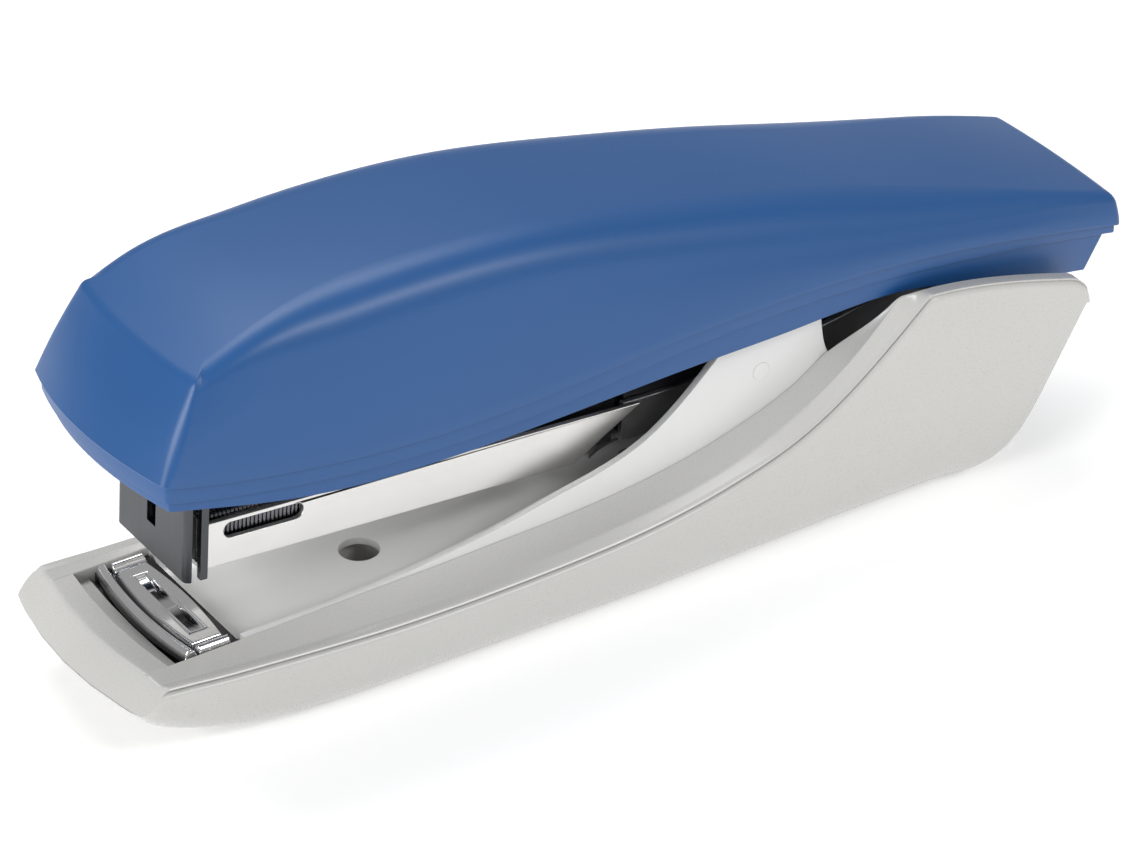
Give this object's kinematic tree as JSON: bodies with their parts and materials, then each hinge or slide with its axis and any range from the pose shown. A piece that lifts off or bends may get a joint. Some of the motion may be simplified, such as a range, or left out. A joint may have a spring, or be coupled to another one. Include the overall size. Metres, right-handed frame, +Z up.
{
  "type": "manual desk stapler",
  "caption": "Small manual desk stapler with a blue cover over a sprung steel magazine on a pale base; it staples sheets against a clinching anvil and opens for loading.",
  "frame": {"origin": "middle of the overall box at the table plane, under the stapler", "axes": "+X from the toe towards the hinge, +Y across, +Z up; the driver blade moves about along -Z"},
  "size_m": [0.1482, 0.0356, 0.0567],
  "materials": {
    "base_plastic": "satin off-white moulded plastic",
    "deck_sheet": "satin light grey painted sheet steel",
    "anvil_chrome": "bright chrome plate",
    "pad_rubber": "matt black rubber",
    "bright_steel": "zinc plated",
    "dark_steel": "dark phosphated sheet",
    "spring_steel": "blued spring steel",
    "channel_steel": "satin nickel plated sheet",
    "guard_steel": "dark nickel plated sheet",
    "staple_wire": "galvanised wire",
    "black_plastic": "black moulded plastic",
    "cover_plastic": "satin blue moulded plastic"
  },
  "bodies": {
    "base": {"base_shell": "base_plastic", "base_plate": "base_plastic", "base_screws": "dark_steel", "foot_pads": "pad_rubber", "deck_frame": "deck_sheet", "anvil": "anvil_chrome", "pivot_pin": "bright_steel", "pin_clip": "dark_steel", "lift_stop_pin": "bright_steel", "return_leaf": "spring_steel", "leaf_rivet": "bright_steel"},
    "magazine": {"magazine_channel": "channel_steel", "magazine_arm": "dark_steel", "arm_rivets": "bright_steel", "staple_rail": "channel_steel", "staple_strip": "staple_wire", "pusher_rod": "bright_steel", "pusher_spring": "spring_steel", "rear_stop": "black_plastic", "magazine_cap": "black_plastic", "cover_spring": "spring_steel", "front_guard": "guard_steel"},
    "pusher": {"pusher": "black_plastic"},
    "cover": {"top_cover": "cover_plastic", "cover_frame": "dark_steel", "cover_screws": "dark_steel", "driver_rivet": "bright_steel", "driver_blade": "spring_steel", "driver_leaf": "spring_steel"}
  },
  "joints": [
    {"name": "magazine_tilt", "type": "hinge", "parent": "base", "child": "magazine", "pos_m": [0.05305, 0, 0.024], "axis": [0, -1, 0], "range_deg": [0, 3.7], "stiffness_Nm_per_rad": 0.62, "springref_deg": -10.89, "deforming": ["return_leaf"]},
    {"name": "cover_tilt", "type": "hinge", "parent": "magazine", "child": "cover", "pos_m": [0.05305, 0, 0.024], "axis": [0, -1, 0], "range_deg": [-45, 3.5], "stiffness_Nm_per_rad": 0.15, "springref_deg": -9.74},
    {"name": "pusher_slide", "type": "slide", "parent": "magazine", "child": "pusher", "axis": [0.9978, 0, -0.0663], "range_m": [0, 0.0275], "stiffness_N_per_m": 25, "springref_m": -0.04, "deforming": ["pusher_spring"]}
  ]
}
